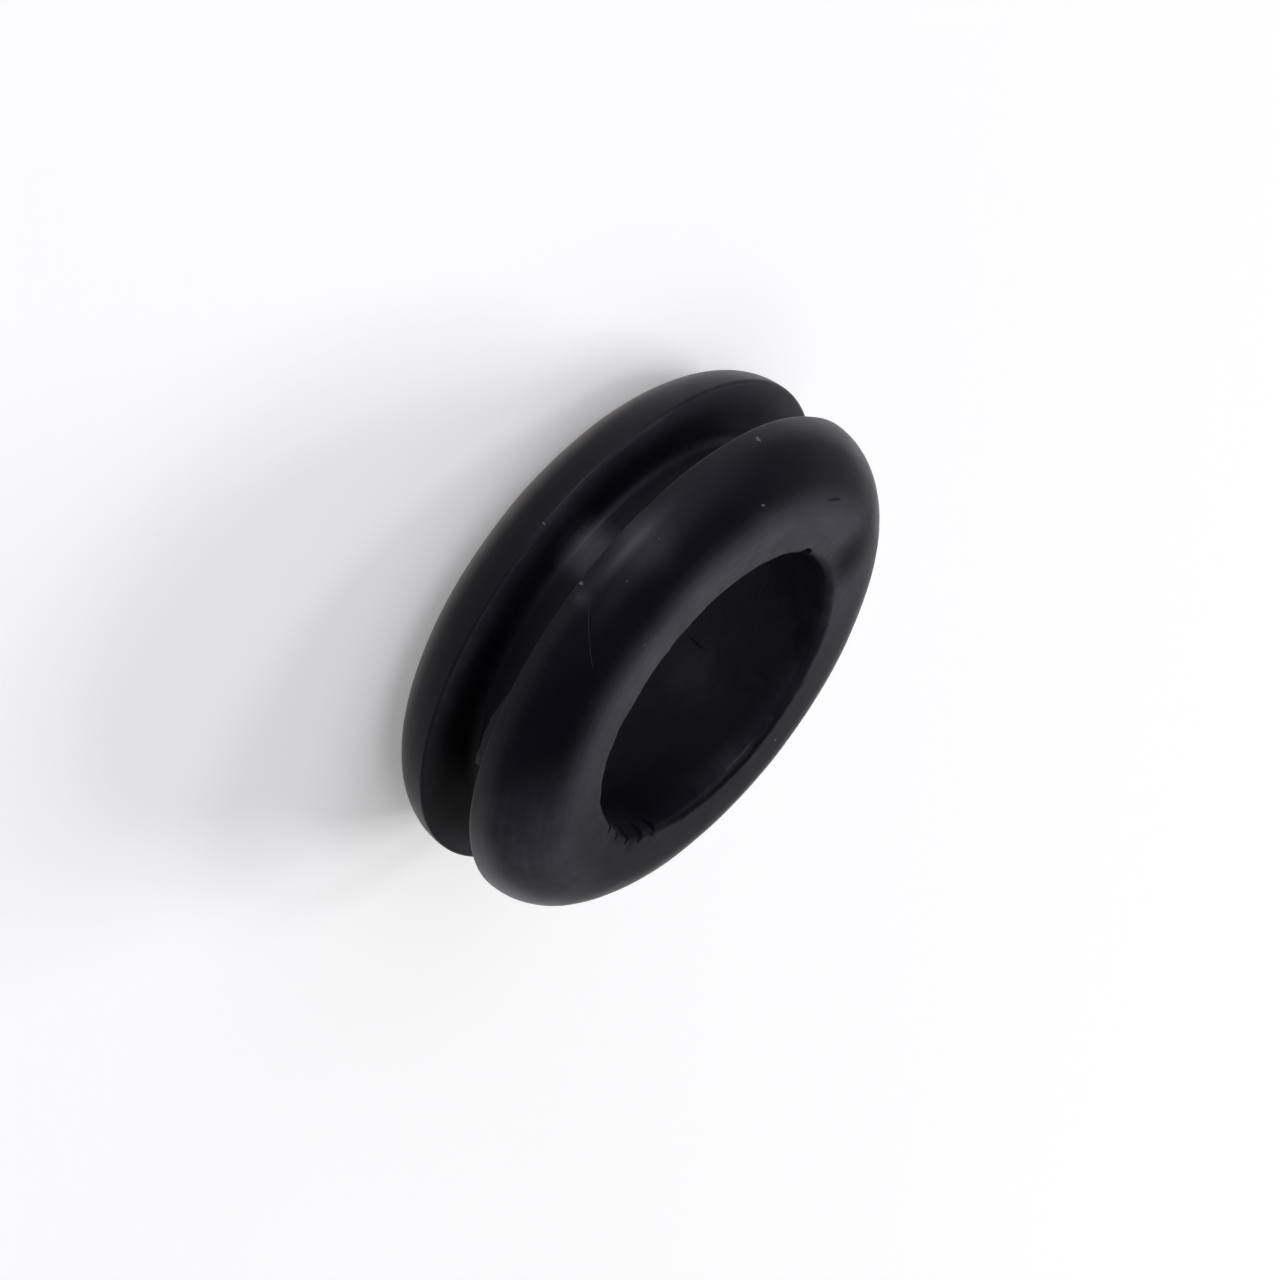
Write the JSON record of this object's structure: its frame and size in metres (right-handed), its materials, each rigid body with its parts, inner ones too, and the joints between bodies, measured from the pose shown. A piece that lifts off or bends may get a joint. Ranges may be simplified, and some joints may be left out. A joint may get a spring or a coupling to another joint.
{
  "type": "rubber grommet",
  "caption": "Black moulded rubber panel grommet: a ring with round-shouldered flanges, a groove between them for the edge of a sheet, and a plain round bore for a cable.",
  "frame": {"origin": "centre of the lower flange's flat crest, which is the ring that the grommet lies on", "axes": "+Z along the axis of the bore, from the lower flange to the upper one; X and Y are any two directions across the ring, which is the same all round"},
  "size_m": [0.021, 0.021, 0.0074],
  "materials": {
    "rubber": "matt black moulded rubber with a faint soft sheen"
  },
  "bodies": {
    "root": {"grommet": "rubber"}
  },
  "joints": []
}
